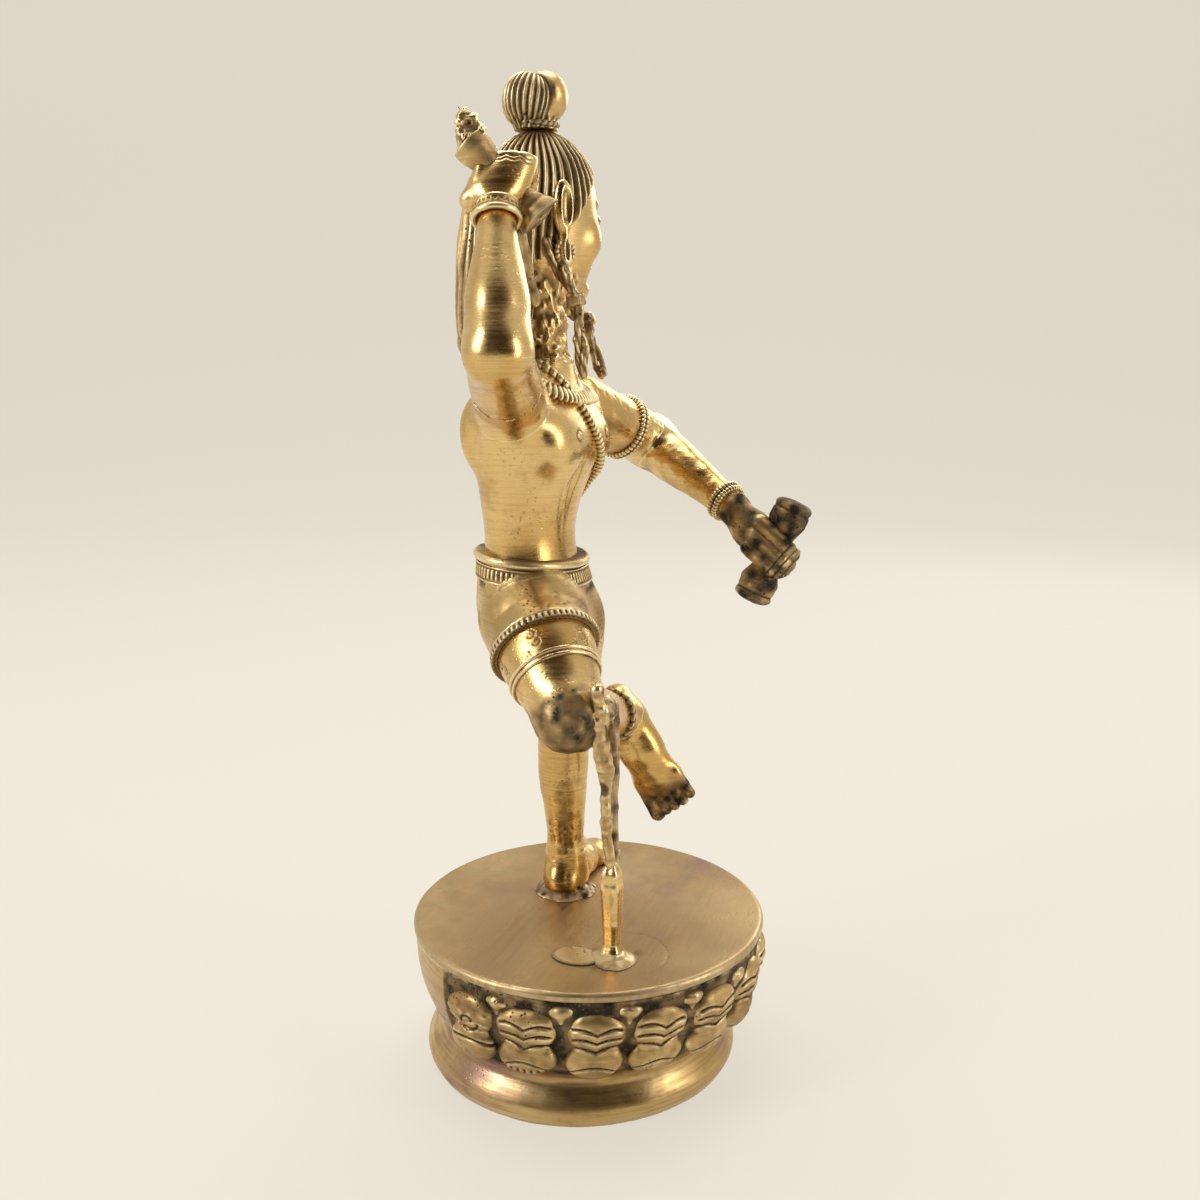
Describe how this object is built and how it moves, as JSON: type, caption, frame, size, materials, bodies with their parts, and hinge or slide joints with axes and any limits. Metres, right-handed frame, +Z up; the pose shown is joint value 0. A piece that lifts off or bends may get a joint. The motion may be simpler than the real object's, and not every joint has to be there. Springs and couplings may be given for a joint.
{
  "type": "dancing figure statue",
  "caption": "Free-standing brass dancer on one leg on a round lotus base, right leg and right arm raised, left arm forward, a strut under the raised knee.",
  "frame": {"origin": "centre of the base's underside, on the closing plate's outer face, where the statue stands", "axes": "+Z up, -Y the way the chest faces, -X the figure's right hand side (the raised leg and raised arm)"},
  "size_m": [0.1462, 0.1279, 0.33],
  "materials": {
    "figure_brass": "polished and brushed cast brass with brown patina in the recesses",
    "relief_brass": "chased cast brass, dark patina in the grooves, bright on the high points",
    "plate_brass": "dull brushed brass with mauve-brown stains",
    "base_brass": "brushed cast brass with dark streaks",
    "braze": "rough brazing filler and unfinished rod, pitted"
  },
  "bodies": {
    "root": {"base_shell": "base_brass", "closing_plate": "base_brass", "top_plate": "plate_brass", "lotus_petals": "relief_brass", "bud_petals": "relief_brass", "left_leg": "figure_brass", "left_foot": "figure_brass", "foot_braze": "braze", "torso": "figure_brass", "right_thigh": "figure_brass", "right_shin": "figure_brass", "right_foot": "figure_brass", "right_anklet": "relief_brass", "dhoti_hips": "figure_brass", "dhoti_sleeve": "figure_brass", "belt_band": "relief_brass", "belt_cord": "relief_brass", "thigh_hem": "relief_brass", "thigh_band": "relief_brass", "strut_pad": "braze", "strut_leaf": "plate_brass", "strut_socket": "braze", "strut_rod_front": "braze", "strut_rod_rear": "braze", "knee_braze": "braze", "head": "figure_brass", "hair_cap": "relief_brass", "back_hair": "relief_brass", "topknot": "relief_brass", "topknot_tie": "relief_brass", "right_earring": "relief_brass", "left_earring": "relief_brass", "right_hair_lock": "relief_brass", "left_hair_lock": "relief_brass", "necklace": "relief_brass", "chest_cord": "relief_brass", "right_upper_arm": "figure_brass", "right_shoulder_braze": "braze", "right_forearm": "figure_brass", "right_bracelet": "relief_brass", "fire_bowl": "relief_brass", "bowl_tie_bar": "relief_brass", "flame": "relief_brass", "right_hand": "figure_brass", "left_upper_arm": "figure_brass", "left_armlet": "relief_brass", "left_forearm": "figure_brass", "left_bracelet": "relief_brass", "damaru": "relief_brass", "left_hand": "figure_brass"}
  },
  "joints": []
}
